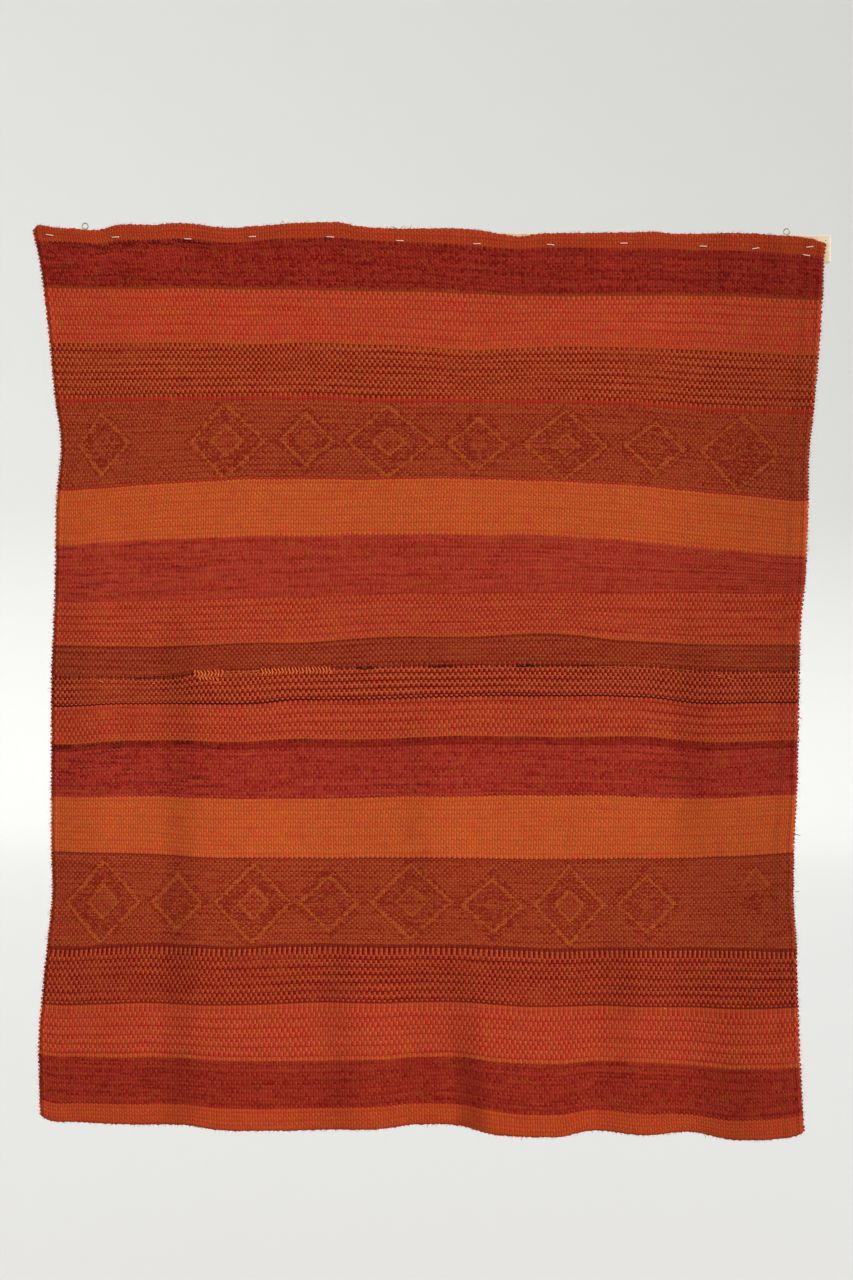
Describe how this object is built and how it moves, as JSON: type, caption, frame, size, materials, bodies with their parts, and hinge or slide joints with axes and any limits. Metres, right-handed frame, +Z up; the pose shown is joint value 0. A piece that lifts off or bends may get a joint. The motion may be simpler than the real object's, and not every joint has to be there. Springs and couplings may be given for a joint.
{
  "type": "aguayo carrying cloth on a wooden hanging batten",
  "caption": "Hand-woven striped wool carrying cloth, its panels sewn edge to edge, stapled along its top to a plain wooden hanging batten with screw eyes.",
  "frame": {"origin": "middle of the batten's top face, between its screw eyes", "axes": "+Z up, +X to the right of someone facing the cloth, the cloth's face looks along -Y and the batten's back face along +Y"},
  "size_m": [1.1345, 0.0297, 1.299],
  "materials": {
    "upper_wool": "coarse warp-faced wool in rust, madder red, brown and orange stripes",
    "lower_wool": "coarse warp-faced wool in rust, madder red, brown and orange stripes",
    "pine": "planed, unfinished",
    "staple_steel": "bright galvanised wire",
    "eye_steel": "bright zinc-plated wire"
  },
  "bodies": {
    "root": {"upper_panel": "upper_wool", "lower_panel": "lower_wool", "batten": "pine", "screw_eye_left": "eye_steel", "screw_eye_right": "eye_steel", "staple_01": "staple_steel", "staple_02": "staple_steel", "staple_03": "staple_steel", "staple_04": "staple_steel", "staple_05": "staple_steel", "staple_06": "staple_steel", "staple_07": "staple_steel", "staple_08": "staple_steel", "staple_09": "staple_steel", "staple_10": "staple_steel", "staple_11": "staple_steel", "staple_12": "staple_steel", "staple_13": "staple_steel"}
  },
  "joints": []
}
